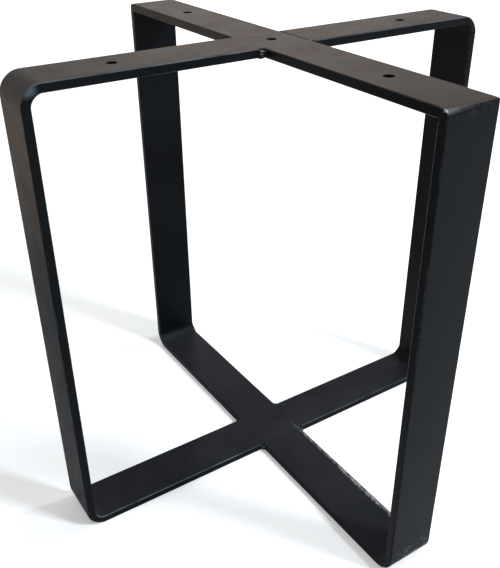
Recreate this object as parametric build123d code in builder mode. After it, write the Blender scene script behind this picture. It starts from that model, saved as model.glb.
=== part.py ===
from build123d import *
import os
from math import pi, sin

# Crossed base for a coffee table, bent and welded from black painted flat bar.
# Two upright rectangular loops cross at right angles, with their faces level with each other
# at the top and at the bottom. One loop runs along Y, unbroken through both crossings. It is a
# U-shaped bar, closed by a straight bar that is mitred and welded on at the two top corners.
# The other loop runs along X in two C-shaped halves, welded to the sides of the first.
# The base stands on z = 0, and the Z axis goes through the middle of both crossings.

# Flat bar, with slightly rounded edges as it is rolled
bar_width = 50.0
bar_thickness = 8.0
edge_radius = 1.5

# The two loops, over their outside faces
base_height = 440.0
loop_length = 465.0

# Cold bends: each narrow side swells at the inner face and draws in at the outer face
bend_radius = 10.0
bend_swell = 1.0
bend_draw = 0.5
bend_steps = 4

# Welded top corners of the unbroken loop: grooved and ground round outside, with a bead inside
corner_radius = 6.0
corner_groove = 8.0
corner_land = 3.0
inside_bead = 4.0
ground_chamfer = 0.9

# Plain holes for the screws that hold the table top
hole_diameter = 9.0
hole_circle_diameter = 300.0

# Groove welds, with both faces of the bar bevelled down to a square land
root_gap = 1.5
root_land = 2.0
cap_height = 1.0
cap_lap = 1.0

# Stretch of one top seam where the weld was left low along the side of the unbroken loop
low_seam_width = 0.5
low_seam_depth = 2.0
filled_length = 4.0

# Beads in the inside corners of the crossings
bead_leg = 5.0
bead_crown = 0.6

# Room by which a cutter reaches past the bar
overrun = 1.0

half_width = bar_width / 2
half_thickness = bar_thickness / 2
bevel_depth = (bar_thickness - root_land) / 2
butt_reach = half_width + root_gap
side_middle = loop_length / 2 - half_thickness
top_middle = base_height - half_thickness

# Height of the bar's middle in each of the two crossings
crossing_heights = {"top": top_middle, "bottom": half_thickness}
half_sides = {"left": -1, "right": 1}
corner_sides = {"front": -1, "back": 1}


def bar_section(plane, bent_share):
    """Section of the bar. Its x goes across the width, its y towards the outer face."""
    inner = half_width + bend_swell * bent_share
    outer = half_width - bend_draw * bent_share
    with BuildSketch(plane) as section:
        with BuildLine():
            Polyline(
                (-inner, -half_thickness),
                (inner, -half_thickness),
                (outer, half_thickness),
                (-outer, half_thickness),
                close=True,
            )
        make_face()
    return section.sketch


def run_bar(loop_plane, middle_line):
    """Flat bar along its middle line, with a keystone-shaped section in each bend."""
    for run in middle_line.edges():
        if run.geom_type == GeomType.LINE:
            start = Plane(run.location_at(0, x_dir=loop_plane.z_dir))
            extrude(bar_section(start, 0), amount=run.length)
        else:
            sections = []
            for step in range(bend_steps + 1):
                station = Plane(run.location_at(step / bend_steps, x_dir=loop_plane.z_dir))
                sections.append(bar_section(station, sin(pi * step / bend_steps) ** 2))
            sweep(sections, path=run, multisection=True)


def round_long_edges(loop, loop_plane):
    """Rounds the edges of the bar all along both of its narrow sides."""
    narrow_sides = loop.faces().filter_by(
        lambda face: abs(loop_plane.to_local_coords(face.center()).Z) > half_width / 2
    )
    broad_faces = loop.faces() - narrow_sides
    fillet(narrow_sides.edges() & broad_faces.edges(), edge_radius)


def corner_point(side, across, down):
    """Point of a welded top corner, measured in from its outside faces."""
    return (side * (loop_length / 2 - across), base_height - down)


def corner_groove_outline(side):
    """V-shaped groove for the weld on the outside of a top corner."""
    root = bar_thickness - corner_land
    with BuildLine() as outline:
        Polyline(
            corner_point(side, -overrun, -overrun),
            corner_point(side, corner_groove, -overrun),
            corner_point(side, corner_groove, 0),
            corner_point(side, root, root),
            corner_point(side, 0, corner_groove),
            corner_point(side, -overrun, corner_groove),
            close=True,
        )
    return outline.line


def corner_weld_outline(side):
    """Weld metal in that groove, ground round on the outside."""
    root = bar_thickness - corner_land
    with BuildLine() as outline:
        Polyline(
            corner_point(side, corner_radius, 0),
            corner_point(side, corner_groove, 0),
            corner_point(side, root, root),
            corner_point(side, 0, corner_groove),
            corner_point(side, 0, corner_radius),
        )
        TangentArc(
            corner_point(side, 0, corner_radius), corner_point(side, corner_radius, 0), tangent=(0, 1)
        )
    return outline.line


def inside_bead_outline(side):
    """Bead with a hollow face on the inside of a top corner."""
    far = bar_thickness + inside_bead
    with BuildLine() as outline:
        Polyline(
            corner_point(side, bar_thickness, far),
            corner_point(side, bar_thickness, bar_thickness),
            corner_point(side, far, bar_thickness),
        )
        TangentArc(
            corner_point(side, far, bar_thickness), corner_point(side, bar_thickness, far), tangent=(side, 0)
        )
    return outline.line


def inside_bead_square(side):
    """Square that the bead takes up on the inside of a top corner."""
    far = bar_thickness + inside_bead
    with BuildLine() as outline:
        Polyline(
            corner_point(side, bar_thickness, bar_thickness),
            corner_point(side, far, bar_thickness),
            corner_point(side, far, far),
            corner_point(side, bar_thickness, far),
            close=True,
        )
    return outline.line


def top_run_outline():
    """Straight bar over the top, between its two grooved mitres."""
    root = bar_thickness - corner_land
    far = bar_thickness + inside_bead
    with BuildLine() as outline:
        Polyline(
            corner_point(-1, corner_groove, -overrun),
            corner_point(-1, corner_groove, 0),
            corner_point(-1, root, root),
            corner_point(-1, bar_thickness, bar_thickness),
            corner_point(-1, far, bar_thickness),
            corner_point(-1, far, bar_thickness + overrun),
            corner_point(1, far, bar_thickness + overrun),
            corner_point(1, far, bar_thickness),
            corner_point(1, bar_thickness, bar_thickness),
            corner_point(1, root, root),
            corner_point(1, corner_groove, 0),
            corner_point(1, corner_groove, -overrun),
            close=True,
        )
    return outline.line


def cut_back_outline(side, bar_middle):
    """Everything that a half lacks beside the middle, with its end bevelled on both faces."""
    land = root_land / 2
    past_face = half_thickness + overrun
    past_bevel = butt_reach + bevel_depth + overrun
    with BuildLine() as outline:
        Polyline(
            (0, bar_middle - past_face),
            (side * past_bevel, bar_middle - past_face),
            (side * butt_reach, bar_middle - land),
            (side * butt_reach, bar_middle + land),
            (side * past_bevel, bar_middle + past_face),
            (0, bar_middle + past_face),
            close=True,
        )
    return outline.line


def seam_outline(side, bar_middle):
    """Weld metal between a half and the unbroken loop, level with both faces of the bars."""
    top = bar_middle + half_thickness
    bottom = bar_middle - half_thickness
    flat_edge = side * (half_width - edge_radius)
    bevel_edge = side * (butt_reach + bevel_depth)
    with BuildLine() as outline:
        Polyline(
            (flat_edge, top),
            (bevel_edge, top),
            (side * butt_reach, bar_middle + root_land / 2),
            (side * butt_reach, bar_middle - root_land / 2),
            (bevel_edge, bottom),
            (flat_edge, bottom),
        )
        TangentArc((flat_edge, bottom), (side * half_width, bottom + edge_radius), tangent=(side, 0))
        Line((side * half_width, bottom + edge_radius), (side * half_width, top - edge_radius))
        TangentArc((side * half_width, top - edge_radius), (flat_edge, top), tangent=(0, 1))
    return outline.line


def cap_outline(side, face_height):
    """Crowned cap under a seam, lapping on to both bars."""
    loop_edge = side * (half_width - edge_radius - cap_lap)
    half_edge = side * (butt_reach + bevel_depth + cap_lap)
    with BuildLine() as outline:
        Line((loop_edge, face_height), (half_edge, face_height))
        ThreePointArc(
            (half_edge, face_height),
            ((loop_edge + half_edge) / 2, face_height - cap_height),
            (loop_edge, face_height),
        )
    return outline.line


def low_seam_outline(side, face_height):
    """Channel left open along the rounded edge of the unbroken loop."""
    with BuildLine() as outline:
        Polyline(
            (side * half_width, face_height - low_seam_depth),
            (side * (half_width + low_seam_width), face_height),
            (side * (half_width + low_seam_width), face_height + overrun),
            (side * (half_width - edge_radius - overrun), face_height + overrun),
            (side * (half_width - edge_radius - overrun), face_height - low_seam_depth),
            close=True,
        )
    return outline.line


def bead_outline(side, corner):
    """Bead seen from above: two legs on the bars and a slightly crowned face."""
    root = (side * half_width, corner * half_width)
    half_leg = (side * (half_width + bead_leg), corner * half_width)
    loop_leg = (side * half_width, corner * (half_width + bead_leg))
    crown_reach = bead_leg / 2 + bead_crown
    crown = (side * (half_width + crown_reach), corner * (half_width + crown_reach))
    with BuildLine() as outline:
        Polyline(loop_leg, root, half_leg)
        ThreePointArc(half_leg, crown, loop_leg)
    return outline.line


def screw_hole(along_x, along_y):
    """Plain hole through the top run of a bar."""
    with Locations((along_x, along_y, base_height)):
        Hole(hole_diameter / 2, depth=bar_thickness)


os.makedirs("parts", exist_ok=True)

# Both loops whole, before they are parted into their bars and welds
with BuildPart() as y_loop:
    with BuildLine(Plane.YZ) as u_line:
        FilletPolyline(
            (-side_middle, base_height),
            (-side_middle, half_thickness),
            (side_middle, half_thickness),
            (side_middle, base_height),
            radius=bend_radius + half_thickness,
        )
    run_bar(Plane.YZ, u_line)
    with BuildSketch(Plane.XY.offset(base_height - bar_thickness)):
        Rectangle(bar_width, loop_length)
    extrude(amount=bar_thickness)
    fillet(y_loop.edges().filter_by(Axis.X).group_by(Axis.Z)[-1], corner_radius)
    inside_height = base_height - bar_thickness
    inside_corners = y_loop.edges().filter_by(Axis.X).filter_by_position(
        Axis.Z, inside_height - overrun, inside_height + overrun
    )
    fillet(inside_corners, inside_bead)
    round_long_edges(y_loop, Plane.YZ)
with BuildPart() as x_loop:
    with BuildLine(Plane.XZ) as ring_line:
        FilletPolyline(
            (-side_middle, half_thickness),
            (side_middle, half_thickness),
            (side_middle, top_middle),
            (-side_middle, top_middle),
            radius=bend_radius + half_thickness,
            close=True,
        )
    run_bar(Plane.XZ, ring_line)
    round_long_edges(x_loop, Plane.XZ)

# Unbroken loop: the U-shaped bar, with its ends mitred and grooved
with BuildPart() as loop_bar:
    add(y_loop)
    with BuildSketch(Plane.YZ):
        make_face(top_run_outline())
        for corner in corner_sides.values():
            make_face(corner_groove_outline(corner))
            make_face(inside_bead_square(corner))
    extrude(amount=bar_width, both=True, mode=Mode.SUBTRACT)
loop_bar.part.label = "loop_bar"
export_step(loop_bar.part, "parts/loop_bar.step")

# Straight bar that closes it, with three of the screw holes
with BuildPart() as loop_top_bar:
    add(y_loop)
    with BuildSketch(Plane.YZ):
        make_face(top_run_outline())
    extrude(amount=bar_width, both=True, mode=Mode.INTERSECT)
    screw_hole(0, 0)
    screw_hole(0, -hole_circle_diameter / 2)
    screw_hole(0, hole_circle_diameter / 2)
loop_top_bar.part.label = "loop_top_bar"
export_step(loop_top_bar.part, "parts/loop_top_bar.step")

# Welds of its two top corners: one ground round outside, and a bead between the rounded edges inside
for corner_name, corner in corner_sides.items():
    with BuildPart() as outside_weld:
        with BuildSketch(Plane.YZ):
            make_face(corner_weld_outline(corner))
        extrude(amount=half_width, both=True)
        weld_ends = outside_weld.faces().filter_by(Axis.X)
        flat_faces = outside_weld.faces().filter_by(Axis.Y) + outside_weld.faces().filter_by(Axis.Z)
        round_face = outside_weld.faces().filter_by(GeomType.CYLINDER)
        chamfer(weld_ends.edges() & (flat_faces + round_face).edges(), ground_chamfer)
    outside_weld.part.label = f"weld_corner_{corner_name}_outside"
    export_step(outside_weld.part, f"parts/weld_corner_{corner_name}_outside.step")
    with BuildPart() as inside_weld:
        with BuildSketch(Plane.YZ):
            make_face(inside_bead_outline(corner))
        extrude(amount=half_width - edge_radius, both=True)
    inside_weld.part.label = f"weld_corner_{corner_name}_inside"
    export_step(inside_weld.part, f"parts/weld_corner_{corner_name}_inside.step")

# Halves of the other loop, cut back and bevelled where they meet the unbroken one
for side_name, side in half_sides.items():
    kept_half = Keep.TOP if side > 0 else Keep.BOTTOM
    with BuildPart() as half_bar:
        add(x_loop)
        split(bisect_by=Plane.YZ, keep=kept_half)
        with BuildSketch(Plane.XZ):
            for bar_middle in crossing_heights.values():
                make_face(cut_back_outline(side, bar_middle))
        extrude(amount=bar_width, both=True, mode=Mode.SUBTRACT)
        screw_hole(side * hole_circle_diameter / 2, 0)
    half_bar.part.label = f"{side_name}_half_bar"
    export_step(half_bar.part, f"parts/{side_name}_half_bar.step")

# Seam welds: each fills what is left open between a half and the side of the unbroken loop.
# They are ground level with the bars, apart from the undersides of the top seams, which keep
# their crowned caps, and a stretch of the top right seam, which was left low.
for level, bar_middle in crossing_heights.items():
    for side_name, side in half_sides.items():
        with BuildPart() as seam_weld:
            with BuildSketch(Plane.XZ):
                make_face(seam_outline(side, bar_middle))
            extrude(amount=half_width, both=True)
            if level == "top":
                with BuildSketch(Plane.XZ):
                    make_face(cap_outline(side, bar_middle - half_thickness))
                extrude(amount=half_width - edge_radius, both=True)
            if level == "top" and side_name == "right":
                with BuildSketch(Plane.XZ.offset(-half_width - overrun)):
                    make_face(low_seam_outline(side, bar_middle + half_thickness))
                extrude(amount=bar_width + overrun - filled_length, mode=Mode.SUBTRACT)
        seam_weld.part.label = f"weld_{level}_{side_name}_seam"
        export_step(seam_weld.part, f"parts/weld_{level}_{side_name}_seam.step")

# Corner beads: upright runs in the inside corners, between the rounded edges of the bars
for level, bar_middle in crossing_heights.items():
    for side_name, side in half_sides.items():
        for corner_name, corner in corner_sides.items():
            with BuildPart() as corner_bead:
                with BuildSketch(Plane.XY.offset(bar_middle)):
                    make_face(bead_outline(side, corner))
                extrude(amount=half_thickness - edge_radius, both=True)
            corner_bead.part.label = f"weld_{level}_{side_name}_{corner_name}"
            export_step(corner_bead.part, f"parts/weld_{level}_{side_name}_{corner_name}.step")
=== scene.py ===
from math import cos, pi, radians, sin

import bmesh
import bpy
from mathutils import Matrix, Vector


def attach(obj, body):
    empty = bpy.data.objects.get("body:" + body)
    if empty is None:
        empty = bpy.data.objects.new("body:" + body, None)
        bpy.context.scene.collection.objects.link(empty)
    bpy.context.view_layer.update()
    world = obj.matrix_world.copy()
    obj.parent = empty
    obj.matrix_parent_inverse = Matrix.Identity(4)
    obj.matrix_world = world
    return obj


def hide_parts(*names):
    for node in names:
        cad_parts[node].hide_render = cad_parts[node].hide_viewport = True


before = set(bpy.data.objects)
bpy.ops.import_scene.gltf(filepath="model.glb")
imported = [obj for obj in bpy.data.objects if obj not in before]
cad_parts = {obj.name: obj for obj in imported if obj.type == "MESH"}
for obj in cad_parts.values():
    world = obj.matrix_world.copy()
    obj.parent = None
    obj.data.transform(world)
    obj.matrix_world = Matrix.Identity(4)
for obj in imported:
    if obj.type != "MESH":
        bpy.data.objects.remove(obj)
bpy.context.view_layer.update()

# The U-shaped bar of the unbroken loop: flat bar, 50 by 8 mm, cold bent at its two bottom
# corners. Its two upright ends are mitred and grooved for the welds of the top corners. It is
# sprayed satin black, and one bottom edge is scraped to the steel where the base was dragged.
bar_width, bar_thickness, edge_radius = 0.050, 0.008, 0.0015
base_height, loop_length = 0.440, 0.465
bend_radius, bend_swell, bend_draw = 0.010, 0.0010, 0.0005
corner_groove, groove_root = 0.008, 0.005
hole_radius = 0.0045
half_width, half_thickness = bar_width / 2, bar_thickness / 2
side_middle = loop_length / 2 - half_thickness
top_middle = base_height - half_thickness


def give(tree, socket, value):
    """Wires another node's output into a socket, or sets a plain value there."""
    if isinstance(value, bpy.types.NodeSocket):
        tree.links.new(value, socket)
    else:
        socket.default_value = value


def add_node(tree, kind, settings=None, **inputs):
    """A node with its properties and inputs. In an input's name _ is a space, and i0 is the first."""
    node = tree.nodes.new(kind)
    for key, value in (settings or {}).items():
        setattr(node, key, value)
    for key, value in inputs.items():
        place = int(key[1:]) if key[0] == "i" and key[1:].isdigit() else key.replace("_", " ")
        give(tree, node.inputs[place], value)
    return node


def calculate(tree, operation, *values):
    inputs = {f"i{place}": value for place, value in enumerate(values)}
    return add_node(tree, "ShaderNodeMath", {"operation": operation}, **inputs).outputs[0]


def product(tree, first, *others):
    for other in others:
        first = calculate(tree, "MULTIPLY", first, other)
    return first


def grown(tree, value, low, high, to_low=0.0, to_high=1.0):
    """The value's share of the range from low to high, eased at both ends."""
    return add_node(tree, "ShaderNodeMapRange", {"interpolation_type": "SMOOTHSTEP"}, Value=value,
                    From_Min=low, From_Max=high, To_Min=to_low, To_Max=to_high).outputs[0]


def speckle(tree, place, size, detail, stretch=(1.0, 1.0, 1.0)):
    """Noise of the given grain size, drawn out along the axes by the stretch."""
    scale = tuple(1 / part for part in stretch)
    scaled = add_node(tree, "ShaderNodeMapping", Vector=place, Scale=scale).outputs[0]
    return add_node(tree, "ShaderNodeTexNoise", Vector=scaled, Scale=1 / size, Detail=detail).outputs[0]


def blended(tree, share, below, above):
    """Two colours mixed by a share, each of them a colour or another node's output."""
    mix = add_node(tree, "ShaderNodeMix", {"data_type": "RGBA"}, Factor=share)
    for label, value in (("A", below), ("B", above)):
        give(tree, next(s for s in mix.inputs if s.name == label and s.type == "RGBA"), value)
    return next(s for s in mix.outputs if s.type == "RGBA")


# Its satin black paint, which the other pieces share. A range says where a share starts and where
# it is full and, where it has four numbers, what it is at those two.
paint_black = (0.0038, 0.0046, 0.0056, 1.0)
patch_size, grain_size = 0.034, 0.0032


def read_surface(tree):
    """What the paint goes by: the place, the way the face looks, the grain and the mesh's own marks."""
    place = add_node(tree, "ShaderNodeTexCoord").outputs["Object"]
    normal = add_node(tree, "ShaderNodeNewGeometry").outputs["Normal"]
    at = {
        "place": place,
        "spot": add_node(tree, "ShaderNodeSeparateXYZ", Vector=place).outputs,
        "facing": add_node(tree, "ShaderNodeSeparateXYZ", Vector=normal).outputs,
        "patches": speckle(tree, place, patch_size, detail=3.0),
        "grain": speckle(tree, place, grain_size, detail=4.0),
    }
    for name in ("on_edge", "bent_share", "outward"):
        at[name] = add_node(tree, "ShaderNodeAttribute", {"attribute_name": name}).outputs["Fac"]
    return at


looks_left, left_leg = (-0.6, -0.95), (-0.20, -0.21)
back_arm, back_arm_height = (0.02, 0.06), (0.405, 0.433, 0.0, 0.8)


def sides_facing_left(tree, at):
    """The faces that look left on the left leg, and on the back arm of the top."""
    arm = product(tree, grown(tree, at["spot"]["Y"], *back_arm),
                  grown(tree, at["spot"]["Z"], *back_arm_height))
    places = calculate(tree, "MAXIMUM", grown(tree, at["spot"]["X"], *left_leg), arm)
    return product(tree, places, grown(tree, at["facing"]["X"], *looks_left))


# Dust, which also paints the upper rounded edges lighter as a highlight and lightens the low left-facing
# sides as painted light
paint_dust_and_sheen = (0.0165, 0.0172, 0.0205, 1.0)
slopes_up, dust_and_sheen_patches = (0.05, 0.75), (0.30, 0.70, 0.70, 1.0)
dust_and_sheen_height = (0.20, 0.08, 0.25, 1.0)


def dust_and_sheen_share(tree, at, sides):
    """Dust on what looks up and low on the sides that face left; on upper edges it is a painted
    highlight.
    """
    lying = product(tree, grown(tree, at["facing"]["Z"], *slopes_up),
                    grown(tree, at["patches"], *dust_and_sheen_patches))
    low = product(tree, sides, grown(tree, at["spot"]["Z"], *dust_and_sheen_height))
    return calculate(tree, "MAXIMUM", lying, low)


# Painted warm reflection: a warm tone in bands on the sides that face left, as a warm surround would give
painted_warm_reflection = (0.066, 0.047, 0.034, 1.0)
warm_reflection_height, warm_reflection_bands = (0.26, 0.40), (0.35, 0.65, 0.78, 1.0)
band_size, band_stretch = 0.016, (4.0, 4.0, 1.0)
right_leg, right_share = (0.10, 0.20), 0.10


def warm_reflection_share(tree, at, sides):
    """A painted warm reflection high on the sides that face left, in bands, and a trace on the right leg.
    """
    bands = speckle(tree, at["place"], band_size, detail=2.0, stretch=band_stretch)
    left = product(tree, sides, grown(tree, at["spot"]["Z"], *warm_reflection_height),
                   grown(tree, bands, *warm_reflection_bands))
    right = product(tree, grown(tree, at["spot"]["X"], *right_leg),
                    grown(tree, at["facing"]["X"], *looks_left), right_share)
    return calculate(tree, "MAXIMUM", left, right)


# Rubbed paint on the edges: partly wear, partly a painted highlight, and on weld crests a painted
# highlight
paint_worn_and_highlit = (0.060, 0.058, 0.056, 1.0)
rub_and_shine_edge, rub_and_shine_patches = (0.55, 1.0), (0.42, 0.62)
nibble_size, nibbled = 0.0026, (0.46, 0.60, 0.0)


def rub_and_shine_share(tree, at, most):
    """Paint rubbed thin in nibbles along parts of the edges, partly wear and partly a painted highlight.
    """
    nibbles = speckle(tree, at["place"], nibble_size, detail=5.0)
    return product(tree, grown(tree, at["on_edge"], *rub_and_shine_edge),
                   grown(tree, at["patches"], *rub_and_shine_patches), grown(tree, nibbles, *nibbled, most))


patch_dullness, grain_dullness = (0.36, 0.66, 0.27, 0.33), (0.2, 0.8, -0.02, 0.02)
top_dullness, side_dullness = 0.16, 0.24
bend_start, inner_face, bend_dullness = (0.0, 0.5), (0.0, -0.003), 0.35


def dullness(tree, at, sides, top_faces):
    """Roughness in patches and grain, higher on the tops, the sides that face left and a bend's hollow.
    """
    hollow = product(tree, grown(tree, at["bent_share"], *bend_start),
                     grown(tree, at["outward"], *inner_face))
    dull = grown(tree, at["patches"], *patch_dullness)
    for more in (grown(tree, at["grain"], *grain_dullness), product(tree, top_faces, top_dullness),
                 product(tree, sides, side_dullness), product(tree, hollow, bend_dullness)):
        dull = calculate(tree, "ADD", dull, more)
    return dull


bare_steel, bare_metallic, mark_depth = (0.33, 0.33, 0.335, 1.0), 0.5, 0.00005
stroke_size, box_fade = 0.0022, (0.45, 1.0, 1.0, 0.0)
stroke_start, start_fall = 0.66, 0.30
stroke_full, full_fall = 0.72, 0.28


def within(tree, place, middle, reach):
    """A share that is one inside a box about the middle and fades out towards the box's sides."""
    away = add_node(tree, "ShaderNodeVectorMath", {"operation": "SUBTRACT"}, i0=place, i1=middle)
    away = add_node(tree, "ShaderNodeVectorMath", {"operation": "DIVIDE"}, i0=away.outputs[0], i1=reach)
    away = add_node(tree, "ShaderNodeVectorMath", {"operation": "ABSOLUTE"}, i0=away.outputs[0])
    away = add_node(tree, "ShaderNodeSeparateXYZ", Vector=away.outputs[0]).outputs
    furthest = calculate(tree, "MAXIMUM", away["X"], away["Y"])
    return grown(tree, calculate(tree, "MAXIMUM", furthest, away["Z"]), *box_fade)


def bare_and_glint_share(tree, place, marks):
    """How bare the steel is in the marks, scrapes and painted glints. Each is a box, with strokes that
    bare a share of it.
    """
    bare = None
    for mark in marks:
        strokes = speckle(tree, place, stroke_size, detail=4.0, stretch=mark["stretch"])
        cut = grown(tree, strokes, stroke_start - start_fall * mark["share"],
                    stroke_full - full_fall * mark["share"])
        cut = product(tree, cut, within(tree, place, mark["middle"], mark["reach"]), mark["strength"])
        bare = cut if bare is None else calculate(tree, "MAXIMUM", bare, cut)
    return bare


# Painted warm reflection on the top faces, in patches, which are also made rougher
painted_top_reflection, top_reflection_patches = (0.038, 0.0270, 0.0213, 1.0), (0.30, 0.70, 0.80, 1.0)
looks_up, top_height = (0.55, 0.95), (0.40, 0.43)
peel_size, peel_depth, grain_depth = 0.0011, 0.000018, 0.00002
paint_gloss = 0.035


def satin_paint(name, marks=(), paint_highlight=None, peel_share=1.0, edge_rub_and_shine=0.45):
    """Satin black with orange peel, dust, rubbed edges, painted warm reflections and highlights."""
    material = bpy.data.materials.new(name)
    material.use_nodes = True
    tree = material.node_tree
    surface = tree.nodes["Principled BSDF"].inputs
    at = read_surface(tree)
    sides = sides_facing_left(tree, at)
    top_faces = product(tree, grown(tree, at["facing"]["Z"], *looks_up),
                        grown(tree, at["spot"]["Z"], *top_height))
    warm_top_reflection = product(tree, top_faces, grown(tree, at["patches"], *top_reflection_patches))
    colour = blended(tree, dust_and_sheen_share(tree, at, sides), paint_black, paint_dust_and_sheen)
    colour = blended(tree, warm_reflection_share(tree, at, sides), colour, painted_warm_reflection)
    colour = blended(tree, warm_top_reflection, colour, painted_top_reflection)
    colour = blended(tree, rub_and_shine_share(tree, at, edge_rub_and_shine), colour, paint_worn_and_highlit)
    if paint_highlight:
        colour = paint_highlight(tree, at, colour)
    peel = speckle(tree, at["place"], peel_size, detail=2.0)
    height = calculate(tree, "ADD", product(tree, peel, peel_depth * peel_share),
                       product(tree, at["grain"], grain_depth))
    if marks:
        bare = bare_and_glint_share(tree, at["place"], marks)
        colour = blended(tree, bare, colour, bare_steel)
        give(tree, surface["Metallic"], product(tree, bare, bare_metallic))
        height = calculate(tree, "SUBTRACT", height, product(tree, bare, mark_depth))
    bump = add_node(tree, "ShaderNodeBump", Strength=1.0, Distance=1.0, Height=height)
    give(tree, surface["Base Color"], colour)
    give(tree, surface["Roughness"], dullness(tree, at, sides, top_faces))
    give(tree, surface["Normal"], bump.outputs[0])
    give(tree, surface["Specular IOR Level"], paint_gloss)
    return material


# The marks on this bar: two runs of the scrape along the bottom edge, and a scuff on the foot
scraped_paint = satin_paint("scraped_black_paint", [
    {"middle": (0.0226, -0.110, 0.0080), "reach": (0.0018, 0.105, 0.0012),
     "stretch": (0.35, 2.4, 1.0), "share": 0.68, "strength": 0.75},
    {"middle": (0.0218, -0.155, 0.0080), "reach": (0.0028, 0.060, 0.0012),
     "stretch": (0.35, 2.0, 1.0), "share": 0.55, "strength": 0.95},
    {"middle": (0.004, -0.2325, 0.016), "reach": (0.026, 0.003, 0.016),
     "stretch": (3.0, 1.0, 2.0), "share": 0.45, "strength": 0.10},
])


def new_tree(name, sockets):
    """An empty Geometry Nodes tree with named inputs, and the modifier identifiers of those inputs."""
    tree = bpy.data.node_groups.new(name, "GeometryNodeTree")
    tree.is_modifier = True
    tree.interface.new_socket(name="Geometry", in_out="INPUT", socket_type="NodeSocketGeometry")
    identifiers = {}
    for label, kind in sockets:
        socket = tree.interface.new_socket(name=label, in_out="INPUT", socket_type=f"NodeSocket{kind}")
        identifiers[label] = socket.identifier
    tree.interface.new_socket(name="Geometry", in_out="OUTPUT", socket_type="NodeSocketGeometry")
    return tree, identifiers


def store(tree, geometry, name, value):
    """Keeps a value at each point of the geometry, under a name that the paint can read."""
    return add_node(tree, "GeometryNodeStoreNamedAttribute", {"data_type": "FLOAT", "domain": "POINT"},
                    Geometry=geometry, Name=name, Value=value).outputs[0]


def recall(tree, name, kind="FLOAT"):
    return add_node(tree, "GeometryNodeInputNamedAttribute", {"data_type": kind}, Name=name).outputs[0]


def read_point(tree):
    here = tree.nodes.new("GeometryNodeInputPosition").outputs[0]
    return add_node(tree, "ShaderNodeSeparateXYZ", Vector=here).outputs


def finish_tree(tree, geometry, paint):
    """Ends a tree with its instances made real and its material set."""
    real = add_node(tree, "GeometryNodeRealizeInstances", Geometry=geometry)
    painted = add_node(tree, "GeometryNodeSetMaterial", Geometry=real.outputs[0], Material=paint)
    tree.links.new(painted.outputs[0], tree.nodes.new("NodeGroupOutput").inputs[0])


# The tree sweeps the bar along its middle line, which comes in as a polyline in the XY plane with
# the outer face on its right. The section turns to a keystone in each bend, and holes are drilled.
bar_tree, bar_inputs = new_tree("bent_flat_bar", [
    ("Bar Width", "Float"), ("Bar Thickness", "Float"), ("Edge Radius", "Float"),
    ("Edge Steps", "Int"), ("Middle Radius", "Float"), ("Bend Steps", "Int"),
    ("Bend Swell", "Float"), ("Bend Draw", "Float"), ("Turn", "Vector"),
    ("Hole Radius", "Float"), ("Hole Start", "Vector"), ("Hole Step", "Vector"),
    ("Hole Count", "Int"), ("Paint", "Material"),
])
given = bar_tree.nodes.new("NodeGroupInput").outputs
line = add_node(bar_tree, "GeometryNodeMeshToCurve", Mesh=given["Geometry"]).outputs[0]
line = add_node(bar_tree, "GeometryNodeFilletCurve", {"mode": "POLY"}, Curve=line,
                Count=given["Bend Steps"], Radius=given["Middle Radius"]).outputs[0]
line = add_node(bar_tree, "GeometryNodeSetCurveNormal", {"mode": "Z_UP"}, Curve=line).outputs[0]

# The share is 0 on the straight runs and 1 halfway round a bend, where both headings are equal
heading = bar_tree.nodes.new("GeometryNodeInputTangent").outputs[0]
heading = add_node(bar_tree, "ShaderNodeSeparateXYZ", Vector=heading).outputs
both_ways = product(bar_tree, heading["X"], heading["Y"])
line = store(bar_tree, line, "bent_share", product(bar_tree, both_ways, both_ways, 4.0))

section = add_node(bar_tree, "GeometryNodeCurvePrimitiveQuadrilateral", {"mode": "RECTANGLE"},
                   Width=given["Bar Thickness"], Height=given["Bar Width"]).outputs[0]
section = add_node(bar_tree, "GeometryNodeFilletCurve", {"mode": "POLY"}, Curve=section,
                   Count=given["Edge Steps"], Radius=given["Edge Radius"]).outputs[0]
spot = read_point(bar_tree)
section = store(bar_tree, section, "outward", spot["X"])

# On the rounded edges this is 1 halfway round, and on the flat faces it is 0
past_flats = []
for axis, size in (("X", "Bar Thickness"), ("Y", "Bar Width")):
    flat_half = product(bar_tree, given[size], 0.5)
    flat_half = calculate(bar_tree, "SUBTRACT", flat_half, given["Edge Radius"])
    past = calculate(bar_tree, "SUBTRACT", calculate(bar_tree, "ABSOLUTE", spot[axis]), flat_half)
    past = calculate(bar_tree, "MAXIMUM", past, 0.0)
    past_flats.append(calculate(bar_tree, "DIVIDE", past, given["Edge Radius"]))
section = store(bar_tree, section, "on_edge", product(bar_tree, *past_flats, 2.0))
bar = add_node(bar_tree, "GeometryNodeCurveToMesh", Curve=line, Profile_Curve=section,
               Fill_Caps=True).outputs[0]

# The width grows by the swell on both sides at the inner face, and shrinks by the draw outside
share = recall(bar_tree, "bent_share")
outward = recall(bar_tree, "outward")
outer_share = calculate(bar_tree, "DIVIDE", outward, given["Bar Thickness"])
outer_share = calculate(bar_tree, "ADD", outer_share, 0.5)
swell_range = calculate(bar_tree, "ADD", given["Bend Swell"], given["Bend Draw"])
swell = product(bar_tree, swell_range, outer_share)
swell = calculate(bar_tree, "SUBTRACT", given["Bend Swell"], swell)
swell = product(bar_tree, swell, share, 2.0)
grow = calculate(bar_tree, "DIVIDE", swell, given["Bar Width"])
grow = calculate(bar_tree, "ADD", grow, 1.0)
spot = read_point(bar_tree)
spot = add_node(bar_tree, "ShaderNodeCombineXYZ", X=spot["X"], Y=spot["Y"],
                Z=product(bar_tree, spot["Z"], grow)).outputs[0]
bar = add_node(bar_tree, "GeometryNodeSetPosition", Geometry=bar, Position=spot).outputs[0]
turn = add_node(bar_tree, "FunctionNodeEulerToRotation", Euler=given["Turn"]).outputs[0]
bar = add_node(bar_tree, "GeometryNodeTransform", Geometry=bar, Rotation=turn).outputs[0]

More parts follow.
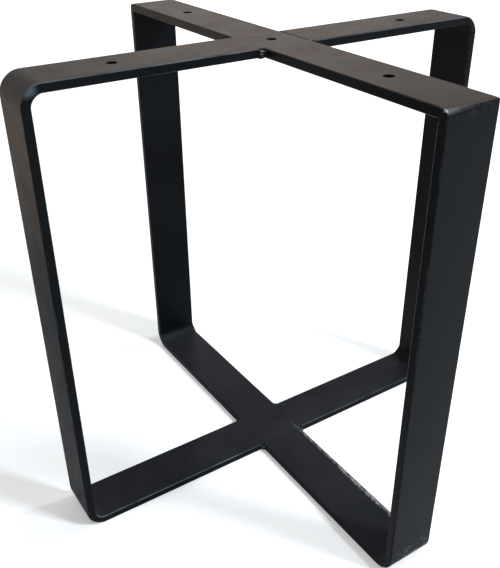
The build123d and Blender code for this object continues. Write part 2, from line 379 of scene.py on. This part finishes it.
# Each drill is a cylinder half as long again as the bar is thick
holes = add_node(bar_tree, "GeometryNodeMeshLine", {"mode": "OFFSET", "count_mode": "TOTAL"},
                 Count=given["Hole Count"], Offset=given["Hole Step"],
                 Start_Location=given["Hole Start"]).outputs[0]
drill = add_node(bar_tree, "GeometryNodeMeshCylinder", {"fill_type": "NGON"}, Vertices=48,
                 Radius=given["Hole Radius"],
                 Depth=product(bar_tree, given["Bar Thickness"], 1.5)).outputs[0]
holes = add_node(bar_tree, "GeometryNodeInstanceOnPoints", Points=holes, Instance=drill).outputs[0]
holes = add_node(bar_tree, "GeometryNodeRealizeInstances", Geometry=holes).outputs[0]
bar = add_node(bar_tree, "GeometryNodeMeshBoolean", {"operation": "DIFFERENCE", "solver": "EXACT"},
               Mesh_1=bar, Mesh_2=holes).outputs[0]
finish_tree(bar_tree, bar, given["Paint"])


def settled(name, guide, tree, identifiers, values):
    """A plain mesh object from a guide mesh and a Geometry Nodes tree with its inputs set."""
    maker = bpy.data.objects.new(name + "_guide", guide)
    bpy.context.scene.collection.objects.link(maker)
    modifier = maker.modifiers.new("made", "NODES")
    modifier.node_group = tree
    for label, value in values.items():
        modifier[identifiers[label]] = value
    depsgraph = bpy.context.evaluated_depsgraph_get()
    mesh = bpy.data.meshes.new_from_object(maker.evaluated_get(depsgraph), depsgraph=depsgraph)
    maker.modifiers.clear()
    bpy.data.objects.remove(maker)
    mesh.name = name
    mesh.materials.clear()
    mesh.materials.append(values["Paint"])
    piece = bpy.data.objects.new(name, mesh)
    bpy.context.scene.collection.objects.link(piece)
    return piece


def polyline(name, points):
    guide = bpy.data.meshes.new(name + "_line")
    guide.from_pydata(points, [(place, place + 1) for place in range(len(points) - 1)], [])
    return guide


cut_slack, merge_distance, crease = 1e-7, 1e-6, radians(38)


def cut_off(piece, point, direction, near):
    """Takes off what lies past a plane, in the part of the bar that is near, and closes the cut."""
    work = bmesh.new()
    work.from_mesh(piece.data)
    verts = [v for v in work.verts if near(v.co)]
    kept = set(verts)
    edges = [e for e in work.edges if kept.issuperset(e.verts)]
    faces = [f for f in work.faces if kept.issuperset(f.verts)]
    cut = bmesh.ops.bisect_plane(work, geom=verts + edges + faces, dist=cut_slack,
                                 plane_co=point, plane_no=direction, clear_outer=True)
    rim = [part for part in cut["geom_cut"] if isinstance(part, bmesh.types.BMEdge)]
    bmesh.ops.holes_fill(work, edges=rim, sides=0)
    work.to_mesh(piece.data)
    work.free()


def smooth(piece):
    """Merges doubles and gives smooth shading that keeps flat faces flat."""
    work = bmesh.new()
    work.from_mesh(piece.data)
    bmesh.ops.remove_doubles(work, verts=work.verts[:], dist=merge_distance)
    bmesh.ops.recalc_face_normals(work, faces=work.faces[:])
    for edge in work.edges:
        if len(edge.link_faces) == 2:
            edge.smooth = edge.calc_face_angle(0) < crease
    for face in work.faces:
        face.smooth = True
    work.to_mesh(piece.data)
    work.free()
    weigh = piece.modifiers.new("weigh", "WEIGHTED_NORMAL")
    weigh.keep_sharp = True
    weigh.weight = 100
    depsgraph = bpy.context.evaluated_depsgraph_get()
    mesh = bpy.data.meshes.new_from_object(piece.evaluated_get(depsgraph), depsgraph=depsgraph)
    piece.modifiers.clear()
    piece.data = mesh


bar_values = {
    "Bar Width": bar_width, "Bar Thickness": bar_thickness, "Edge Radius": edge_radius, "Edge Steps": 5,
    "Middle Radius": bend_radius + half_thickness, "Bend Steps": 20, "Bend Swell": bend_swell,
    "Bend Draw": bend_draw, "Hole Radius": hole_radius, "Hole Start": (0.0, 0.0, 0.0),
    "Hole Step": (0.0, 0.0, 0.0), "Hole Count": 0,
}
along_y = (pi / 2, 0.0, pi / 2)
u_line = polyline("u_bar", [(-side_middle, base_height, 0), (-side_middle, half_thickness, 0),
                            (side_middle, half_thickness, 0), (side_middle, base_height, 0)])
u_bar = settled("u_bar", u_line, bar_tree, bar_inputs,
                bar_values | {"Turn": along_y, "Paint": scraped_paint})
for end in (-1, 1):
    root = Vector((0, end * (loop_length / 2 - groove_root), base_height - groove_root))
    groove_slope = (0, end * (corner_groove - groove_root), groove_root)
    cut_off(u_bar, root, groove_slope, lambda co: co.y * end > 0)
    cut_off(u_bar, root, (0, -end, 1), lambda co: co.y * end > 0)
smooth(u_bar)
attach(u_bar, "root")
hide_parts("loop_bar")

# The straight bar over the top of the unbroken loop, of the same flat bar and paint. It is mitred
# at both ends and drilled for three screws: one in the middle of the crossing and one on each arm.
hole_reach, hole_soften = 0.150, 0.0004
rim_slack, level_slack, longest_rim_edge = 2e-5, 1e-5, 0.001


def soften_holes(piece, middles):
    """Takes the burr off both rims of each hole."""
    work = bmesh.new()
    work.from_mesh(piece.data)
    bmesh.ops.remove_doubles(work, verts=work.verts[:], dist=merge_distance)

    def on_rim(vert):
        off_wall = [abs((vert.co - middle).to_2d().length - hole_radius) for middle in middles]
        off_face = abs(abs(vert.co.z - top_middle) - half_thickness)
        return min(off_wall) < rim_slack and off_face < level_slack

    rims = [e for e in work.edges
            if on_rim(e.verts[0]) and on_rim(e.verts[1]) and e.calc_length() < longest_rim_edge]
    bmesh.ops.bevel(work, geom=rims, offset=hole_soften, segments=3, profile=0.5, affect="EDGES")
    work.to_mesh(piece.data)
    work.free()


top_line = polyline("top_bar", [(-loop_length / 2, top_middle, 0), (loop_length / 2, top_middle, 0)])
top_bar = settled("top_bar", top_line, bar_tree, bar_inputs, bar_values | {
    "Turn": along_y, "Hole Start": (0.0, -hole_reach, top_middle), "Hole Step": (0.0, hole_reach, 0.0),
    "Hole Count": 3, "Paint": satin_paint("satin_black_paint")})
for end in (-1, 1):
    root = Vector((0, end * (loop_length / 2 - groove_root), base_height - groove_root))
    cut_off(top_bar, root, (0, end * groove_root, corner_groove - groove_root), lambda co: True)
    cut_off(top_bar, root, (0, end, -1), lambda co: True)
soften_holes(top_bar, [Vector((0, hole_reach * arm, top_middle)) for arm in (-1, 0, 1)])
smooth(top_bar)
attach(top_bar, "root")
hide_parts("loop_top_bar")

# The other loop is two C-shaped halves, each one bar with two cold bends. Their four ends butt
# against the sides of the unbroken loop, bevelled on both faces down to a narrow land. Their
# upper edges and the front of the top left bend carry a painted highlight, and the left foot has a
# faint scuff.
root_gap, root_land = 0.0015, 0.002
butt_reach = half_width + root_gap
# Painted highlights: a cool tone on upward rounded edges, and on the front of the top left bend where its
# swell catches light
painted_edge_highlight = (0.082, 0.101, 0.115, 1.0)
shine_edge, shine_patches = (0.15, 0.80), (0.35, 0.62, 0.25, 1.0)
shine_from, shine_until = (0.20, 0.50), (0.88, 0.995, 1.0, 0.0)
shine_left = (0.02, -0.02, 0.45, 1.0)
swell_bend, swell_outer = (0.05, 1.0), (-0.0045, 0.002)
swell_front, swell_height, swell_left = (-0.80, -0.95), (0.4275, 0.4345), (0.02, -0.02)
along_x = (pi / 2, 0.0, 0.0)


def painted_highlight_with(tone):
    """A painted highlight in this tone on the edges that look up and on the front of the top left bend.
    """
    def paint_highlight(tree, at, colour):
        edges = product(tree, grown(tree, at["on_edge"], *shine_edge),
                        grown(tree, at["facing"]["Z"], *shine_from),
                        grown(tree, at["facing"]["Z"], *shine_until),
                        grown(tree, at["spot"]["X"], *shine_left))
        bend = product(tree, grown(tree, at["bent_share"], *swell_bend),
                       grown(tree, at["facing"]["Y"], *swell_front),
                       grown(tree, at["spot"]["Z"], *swell_height),
                       grown(tree, at["spot"]["X"], *swell_left),
                       grown(tree, at["outward"], *swell_outer))
        shine = product(tree, calculate(tree, "MAXIMUM", edges, bend),
                        grown(tree, at["patches"], *shine_patches))
        return blended(tree, shine, colour, tone)
    return paint_highlight


highlit_black_paint = satin_paint("black_paint_with_painted_highlights", [
    {"middle": (-0.2325, -0.006, 0.045), "reach": (0.003, 0.022, 0.060),
     "stretch": (1.0, 1.6, 6.0), "share": 0.45, "strength": 0.05},
], painted_highlight_with(painted_edge_highlight))
for name, side in (("left_half", -1), ("right_half", 1)):
    ends = [(side * butt_reach, top_middle, 0), (side * side_middle, top_middle, 0),
            (side * side_middle, half_thickness, 0), (side * butt_reach, half_thickness, 0)]
    if side > 0:
        ends.reverse()
    half = settled(name, polyline(name, ends), bar_tree, bar_inputs, bar_values | {
        "Turn": along_x, "Hole Start": (side * hole_reach, 0.0, top_middle), "Hole Count": 1,
        "Paint": highlit_black_paint})
    for middle in (half_thickness, top_middle):
        for face in (-1, 1):
            land = Vector((side * butt_reach, 0, middle + face * root_land / 2))
            cut_off(half, land, (-side, 0, face), lambda co: abs(co.z - middle) < base_height / 2)
    soften_holes(half, [Vector((side * hole_reach, 0, top_middle))])
    smooth(half)
    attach(half, "root")
    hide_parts(f"{name}_bar")

# The welds of the two top corners of the unbroken loop, laid by hand and painted over. Outside,
# the groove is filled and ground: the front corner is left round at the left end of the run and
# nearly sharp at the right. Inside, a small hollow bead runs across the bar.
corner_radius, inside_bead = 0.006, 0.004
# A painted highlight in this tone on the ground corner welds
weld_painted_highlight = (0.070, 0.069, 0.075, 1.0)
evenly = (1.0, 1.0, 1.0)

# Painted glints as small spots of bare steel: one at the front corner, and two in the front
# left corner of the crossing
weld_paint = satin_paint("paint_over_weld", [
    {"middle": (-0.0243, -0.2302, 0.4388), "reach": (0.0012, 0.0016, 0.0014), "stretch": evenly,
     "share": 1.2, "strength": 0.9},
    {"middle": (-0.0288, -0.0270, 0.4382), "reach": (0.0024, 0.0014, 0.0007), "stretch": evenly,
     "share": 1.2, "strength": 0.55},
    {"middle": (-0.0286, -0.0272, 0.4357), "reach": (0.0012, 0.0014, 0.0008), "stretch": evenly,
     "share": 1.2, "strength": 0.40},
], painted_highlight_with(weld_painted_highlight), peel_share=2.5, edge_rub_and_shine=0.5)

# The tree sweeps a closed section along a straight run. It pushes the section's points out in
# ripples with some unevenness, in where the run ends, and out to a sharper corner along the run.
weld_tree, weld_inputs = new_tree("weld_run", [
    ("Run Length", "Float"), ("Run Steps", "Int"), ("Ripple Spacing", "Float"),
    ("Ripple Height", "Float"), ("Unevenness", "Float"), ("Uneven Size", "Float"),
    ("End Rounding", "Float"), ("Low Start", "Float"), ("Sharp Start", "Float"),
    ("Sharp End", "Float"), ("Seed", "Float"), ("Paint", "Material"),
])
ripple_wander, sinking_run = 5.0, 0.0012
given = weld_tree.nodes.new("NodeGroupInput").outputs
outline = add_node(weld_tree, "GeometryNodeMeshToCurve", Mesh=given["Geometry"]).outputs[0]
half_run = product(weld_tree, given["Run Length"], 0.5)
minus_half_run = product(weld_tree, half_run, -1.0)
run_start = add_node(weld_tree, "ShaderNodeCombineXYZ", Z=minus_half_run).outputs[0]
run_end = add_node(weld_tree, "ShaderNodeCombineXYZ", Z=half_run).outputs[0]
run = add_node(weld_tree, "GeometryNodeCurvePrimitiveLine", {"mode": "POINTS"}, Start=run_start,
               End=run_end).outputs[0]
run = add_node(weld_tree, "GeometryNodeResampleCurve", {"mode": "COUNT"}, Curve=run,
               Count=given["Run Steps"]).outputs[0]
weld = add_node(weld_tree, "GeometryNodeCurveToMesh", Curve=run, Profile_Curve=outline,
                Fill_Caps=True).outputs[0]

# Ripples, which wander with the unevenness
spot = read_point(weld_tree)
here = weld_tree.nodes.new("GeometryNodeInputPosition").outputs[0]
uneven = add_node(weld_tree, "ShaderNodeTexNoise", {"noise_dimensions": "4D"}, Vector=here,
                  W=given["Seed"], Detail=2.0,
                  Scale=calculate(weld_tree, "DIVIDE", 1.0, given["Uneven Size"])).outputs[0]
uneven = calculate(weld_tree, "SUBTRACT", uneven, 0.5)
phase = calculate(weld_tree, "DIVIDE", spot["Z"], given["Ripple Spacing"])
phase = product(weld_tree, phase, 2 * pi)
phase = calculate(weld_tree, "ADD", phase, product(weld_tree, uneven, ripple_wander))
rise = product(weld_tree, calculate(weld_tree, "SINE", phase), given["Ripple Height"])
rise = calculate(weld_tree, "ADD", rise, product(weld_tree, uneven, given["Unevenness"]))

# Both ends of the run, rounded to the given radius
to_end = calculate(weld_tree, "SUBTRACT", half_run, calculate(weld_tree, "ABSOLUTE", spot["Z"]))
inside = calculate(weld_tree, "SUBTRACT", given["End Rounding"], to_end)
inside = calculate(weld_tree, "MAXIMUM", inside, 0.0)
drop = product(weld_tree, given["End Rounding"], given["End Rounding"])
drop = calculate(weld_tree, "SUBTRACT", drop, product(weld_tree, inside, inside))
drop = calculate(weld_tree, "SQRT", calculate(weld_tree, "MAXIMUM", drop, 0.0))
rise = calculate(weld_tree, "ADD", rise, calculate(weld_tree, "SUBTRACT", drop, given["End Rounding"]))

# The sharper corner, and the stretch that is left low
sharpness = add_node(weld_tree, "ShaderNodeMapRange", Value=spot["Z"], From_Min=minus_half_run,
                     From_Max=half_run, To_Min=given["Sharp Start"],
                     To_Max=given["Sharp End"]).outputs[0]
sharpened = product(weld_tree, recall(weld_tree, "sharpen"), sharpness)
rise = calculate(weld_tree, "ADD", rise, sharpened)
to_low = calculate(weld_tree, "SUBTRACT", given["Low Start"], spot["Z"])
to_low = calculate(weld_tree, "DIVIDE", to_low, sinking_run)
sunk = add_node(weld_tree, "ShaderNodeClamp", Value=to_low).outputs[0]
rise = calculate(weld_tree, "SUBTRACT", rise, product(weld_tree, recall(weld_tree, "low"), sunk))
moved = add_node(weld_tree, "ShaderNodeVectorMath", {"operation": "SCALE"},
                 i0=recall(weld_tree, "push", "FLOAT_VECTOR"), Scale=rise).outputs[0]
weld = add_node(weld_tree, "GeometryNodeSetPosition", Geometry=weld, Offset=moved).outputs[0]
finish_tree(weld_tree, weld, given["Paint"])


def weld_piece(name, outline_points, values, where, rub_and_shine=1.0):
    """One weld run from its section. A point gives its place, its push outwards and how low it sinks."""
    count = len(outline_points)
    pushes = [Vector((push_x, push_y, 0.0)) for _, _, push_x, push_y, _ in outline_points]
    steepest = [max(abs(push_x), abs(push_y)) for _, _, push_x, push_y, _ in outline_points]
    marks = {
        "low": [sink for *_, sink in outline_points],
        # The crests of a weld take the rubbed colour, which is a painted highlight there
        "on_edge": [rub_and_shine * min(1.0, push.length) for push in pushes],
        "sharpen": [corner_radius * (1 / most - 1) if most else 0.0 for most in steepest],
    }
    guide = bpy.data.meshes.new(name + "_section")
    guide.from_pydata([(x, y, 0.0) for x, y, *_ in outline_points],
                      [(place, (place + 1) % count) for place in range(count)], [])
    push_marks = guide.attributes.new("push", "FLOAT_VECTOR", "POINT")
    push_marks.data.foreach_set("vector", [part for push in pushes for part in push])
    for label, numbers in marks.items():
        guide.attributes.new(label, "FLOAT", "POINT").data.foreach_set("value", numbers)
    piece = settled(name, guide, weld_tree, weld_inputs, values | {"Paint": weld_paint})
    piece.data.transform(where)
    smooth(piece)
    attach(piece, "root")
    return piece


def arc(middle_x, middle_y, radius, start, stop, steps, direction=1.0):
    """Points of an arc, each pushed away from its middle, or towards it where direction is -1."""
    points = []
    for step in range(steps + 1):
        turn = radians(start + (stop - start) * step / steps)
        points.append((middle_x + radius * cos(turn), middle_y + radius * sin(turn),
                       direction * cos(turn), direction * sin(turn), 0.0))
    return points


def from_outside(side, points):
    """Points measured in from the corner's outside faces, turned into points of the loop's plane."""
    return [(side * (loop_length / 2 - across), base_height - down, -side * push_across, -push_down, sink)
            for across, down, push_across, push_down, sink in points]


weld_values = {
    "Run Length": bar_width, "Run Steps": 120, "Ripple Spacing": 0.0017, "Ripple Height": 0.0,
    "Unevenness": 0.0, "Uneven Size": 0.004, "End Rounding": edge_radius, "Low Start": -1.0,
    "Sharp Start": 0.0, "Sharp End": 0.0, "Seed": 0.0,
}
run_along_x = Matrix(((0, 0, 1, 0), (1, 0, 0, 0), (0, 1, 0, 0), (0, 0, 0, 1)))
far = bar_thickness + inside_bead
for name, side, sharp_start, sharp_end in (("front", -1, 0.10, 0.80), ("back", 1, 0.35, 0.70)):
    ground = [(corner_groove, 0.0, 0.0, -1.0, 0.0), (groove_root, groove_root, 0.0, 0.0, 0.0),
              (0.0, corner_groove, -1.0, 0.0, 0.0)]
    ground += arc(corner_radius, corner_radius, corner_radius, start=180, stop=270, steps=10)
    outside = weld_piece(f"corner_weld_{name}", from_outside(side, ground), weld_values | {
        "Unevenness": 0.0001, "Uneven Size": 0.007, "Seed": 3.0 + side,
        "Sharp Start": sharp_start, "Sharp End": sharp_end}, run_along_x, rub_and_shine=0.7)
    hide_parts(f"weld_corner_{name}_outside")
    hollow = [(bar_thickness, bar_thickness, 0.0, 0.0, 0.0)]
    hollow += arc(far, far, inside_bead, start=270, stop=180, steps=8, direction=-1.0)
    inner = weld_piece(f"corner_bead_{name}", from_outside(side, hollow), weld_values | {
        "Run Length": bar_width - 2 * edge_radius, "Run Steps": 160, "Ripple Height": 0.00010,
        "Unevenness": 0.0003, "End Rounding": 0.001, "Seed": 7.0 + side}, run_along_x)
    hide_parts(f"weld_corner_{name}_inside")

# The seams between the halves and the unbroken loop: weld metal in the bevelled grooves, ground
# level with the faces of the bars and painted over. Underneath, the bottom ones are ground a hair
# deeper, and the top ones keep a crowned cap. The top right one was left low along the loop.
cap_height, cap_lap, cap_steps, ground_dip = 0.0010, 0.0010, 10, 0.00008
low_seam_width, low_seam_depth, filled_length = 0.0005, 0.002, 0.004
low_seam_slope = ((0.0008, 0.0004), (0.0003, 0.0011))
lower_turn, upper_turn = (-70, 0, 4), (0, 40, 2)
bevel_edge = butt_reach + (bar_thickness - root_land) / 2
flat_edge = half_width - edge_radius
half_cap = (bevel_edge + cap_lap - flat_edge + cap_lap) / 2
cap_middle = (bevel_edge + flat_edge) / 2
run_along_y = Matrix(((1, 0, 0, 0), (0, 0, -1, 0), (0, 1, 0, 0), (0, 0, 0, 1)))
for level, middle in (("top", top_middle), ("bottom", half_thickness)):
    for name, side in (("left", -1), ("right", 1)):
        is_low = level == "top" and side > 0
        across_face = [(flat_edge, 0.0)]
        across_face += [(half_width - inward, sink) for inward, sink in low_seam_slope]
        across_face += [(half_width, low_seam_depth), (half_width + low_seam_width, 0.0),
                        (butt_reach, 0.0), (butt_reach + root_gap, 0.0), (bevel_edge, 0.0)]
        outline_points = [(x, half_thickness, 0.0, 1.0, sink if is_low else 0.0)
                          for x, sink in across_face]
        outline_points += [(butt_reach, root_land / 2, 0.0, 0.0, 0.0),
                           (butt_reach, -root_land / 2, 0.0, 0.0, 0.0)]
        if level == "top":
            outline_points.append((bevel_edge, -half_thickness, 0.0, 0.0, 0.0))
            for step in range(cap_steps + 1):
                across = 1 - step / (cap_steps / 2)
                crown = cap_height * (1 - across * across)
                outline_points.append((cap_middle + half_cap * across, -half_thickness - crown,
                                       0.0, -crown / cap_height, 0.0))
            outline_points.append((flat_edge, -half_thickness, 0.0, 0.0, 0.0))
        else:
            outline_points += [(bevel_edge, ground_dip - half_thickness, 0.0, -1.0, 0.0),
                               (flat_edge, ground_dip - half_thickness, 0.0, -1.0, 0.0)]
        bar_edge = arc(flat_edge, edge_radius - half_thickness, edge_radius, *lower_turn)
        bar_edge += arc(flat_edge, half_thickness - edge_radius, edge_radius, *upper_turn)
        outline_points += [(x, z, 0.0, 0.0, 0.0) for x, z, *_ in bar_edge]
        outline_points = [(side * x, middle + z, side * push_x, push_z, sink)
                          for x, z, push_x, push_z, sink in outline_points]
        seam = weld_piece(f"seam_{level}_{name}", outline_points, weld_values | {
            "Unevenness": 0.00009, "Uneven Size": 0.006, "Seed": 11.0 + side + 4.0 * middle,
            "Ripple Height": 0.00002, "Low Start": half_width - filled_length if is_low else -1.0},
            run_along_y, rub_and_shine=0.0)
        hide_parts(f"weld_{level}_{name}_seam")

# Short upright beads of weld metal in the eight inside corners of the crossings, one run each,
# as high as the flat of the bar's narrow side, and painted over.
bead_leg, bead_crown, bead_height, bead_steps = 0.005, 0.0006, 0.005, 8
toe_push, crest_push = 0.8, 0.7
for level, middle in (("top", top_middle), ("bottom", half_thickness)):
    for name, side in (("left", -1), ("right", 1)):
        for corner_name, corner in (("front", -1), ("back", 1)):
            bead = [(half_width, half_width, 0.0, 0.0, 0.0),
                    (half_width + bead_leg, half_width, toe_push, 0.0, 0.0)]
            for step in range(1, bead_steps):
                share = step / bead_steps
                crown = bead_crown * 4 * share * (1 - share)
                push = crest_push * sin(pi * share)
                bead.append((half_width + bead_leg * (1 - share) + crown,
                             half_width + bead_leg * share + crown, push, push, 0.0))
            bead.append((half_width, half_width + bead_leg, 0.0, toe_push, 0.0))
            bead = [(side * x, corner * y, side * push_x, corner * push_y, sink)
                    for x, y, push_x, push_y, sink in bead]
            piece = weld_piece(f"bead_{level}_{name}_{corner_name}", bead, weld_values | {
                "Run Length": bead_height, "Run Steps": 36, "Ripple Height": 0.00012,
                "Unevenness": 0.0004, "End Rounding": 0.0022,
                "Seed": 20.0 + side + 2.0 * corner + 4.0 * middle}, Matrix.Translation((0, 0, middle)))
            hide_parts(f"weld_{level}_{name}_{corner_name}")

# The stage: a plain pale floor, which keeps the shadow of the base. Where it is seen or mirrored
# it is lifted to white, more so far away from the base, and it lies under an even white surround.
floor_half = 20.0
floor_colour = (0.90, 0.90, 0.90, 1.0)
white = (1.0, 1.0, 1.0, 1.0)
floor_lift = (0.4, 2.5, 0.25, 0.60)
surround_level = 0.50


def looked_at(tree):
    """1 for rays that see the surface straight, mirrored or through glass, and 0 for all others."""
    rays = add_node(tree, "ShaderNodeLightPath").outputs
    direct = calculate(tree, "MAXIMUM", rays["Is Camera Ray"], rays["Is Glossy Ray"])
    return calculate(tree, "MAXIMUM", direct, rays["Is Transmission Ray"])


floor_mesh = bpy.data.meshes.new("floor")
floor_mesh.from_pydata([(-floor_half, -floor_half, 0), (floor_half, -floor_half, 0),
                        (floor_half, floor_half, 0), (-floor_half, floor_half, 0)], [], [(0, 1, 2, 3)])
floor = bpy.data.objects.new("floor", floor_mesh)
bpy.context.scene.collection.objects.link(floor)
floor_paint = bpy.data.materials.new("white_floor")
floor_paint.use_nodes = True
floor_tree = floor_paint.node_tree
floor_surface = floor_tree.nodes["Principled BSDF"].inputs
give(floor_tree, floor_surface["Base Color"], floor_colour)
give(floor_tree, floor_surface["Roughness"], 0.9)
give(floor_tree, floor_surface["Specular IOR Level"], 0.0)
give(floor_tree, floor_surface["Emission Color"], white)
floor_place = add_node(floor_tree, "ShaderNodeTexCoord").outputs["Object"]
from_base = add_node(floor_tree, "ShaderNodeVectorMath", {"operation": "LENGTH"},
                     i0=floor_place).outputs["Value"]
lift = product(floor_tree, looked_at(floor_tree), grown(floor_tree, from_base, *floor_lift))
give(floor_tree, floor_surface["Emission Strength"], lift)
floor_mesh.materials.append(floor_paint)

world = bpy.data.worlds.new("surround")
world.use_nodes = True
bpy.context.scene.world = world
backdrop = world.node_tree.nodes["Background"].inputs
give(world.node_tree, backdrop["Color"], white)
level = calculate(world.node_tree, "MULTIPLY_ADD", looked_at(world.node_tree),
                  1.0 - surround_level, surround_level)
give(world.node_tree, backdrop["Strength"], level)

# Three soft lamps: two cool ones high at the front and the right, which draw the rounded edges and
# the corner welds, and a large warm one far behind, which lies along the tops of the bars.
aim = Vector((0.0, 0.0, 0.22))
cool_light, warm_light = (0.84, 0.93, 1.0), (1.0, 0.84, 0.72)
lamps = (
    {"name": "lamp_front", "towards": Vector((0.38, -0.66, 0.62)), "distance": 2.2, "size": 0.45,
     "power": 42.0, "colour": cool_light},
    {"name": "lamp_right", "towards": Vector((0.76, -0.12, 0.62)), "distance": 2.4, "size": 0.45,
     "power": 26.0, "colour": cool_light},
    {"name": "lamp_back", "towards": Vector((0.50, 0.80, 0.26)), "distance": 3.0, "size": 1.6,
     "power": 6.0, "colour": warm_light},
)
for lamp in lamps:
    light = bpy.data.lights.new(lamp["name"], "AREA")
    light.shape = "DISK"
    light.size = lamp["size"]
    light.energy = lamp["power"]
    light.color = lamp["colour"]
    lamp_object = bpy.data.objects.new(lamp["name"], light)
    lamp_object.location = aim + lamp["towards"].normalized() * lamp["distance"]
    lamp_object.rotation_euler = lamp["towards"].to_track_quat("Z", "Y").to_euler()
    bpy.context.scene.collection.objects.link(lamp_object)

# Camera at the photo's angle, solved from the corners of both loops. Its small shift puts the
# base where it stands in the photo's frame.
camera = bpy.data.cameras.new("camera")
camera.lens, camera.sensor_width = 47.343, 36.0
camera.shift_x, camera.shift_y = -0.0179, 0.0144
camera_object = bpy.data.objects.new("camera", camera)
camera_object.location = (-0.38079, -0.55184, 0.58050)
camera_object.rotation_euler = (radians(59.434), radians(0.114), radians(-33.792))
bpy.context.scene.collection.objects.link(camera_object)
bpy.context.scene.camera = camera_object
bpy.context.scene.view_settings.view_transform = "Standard"
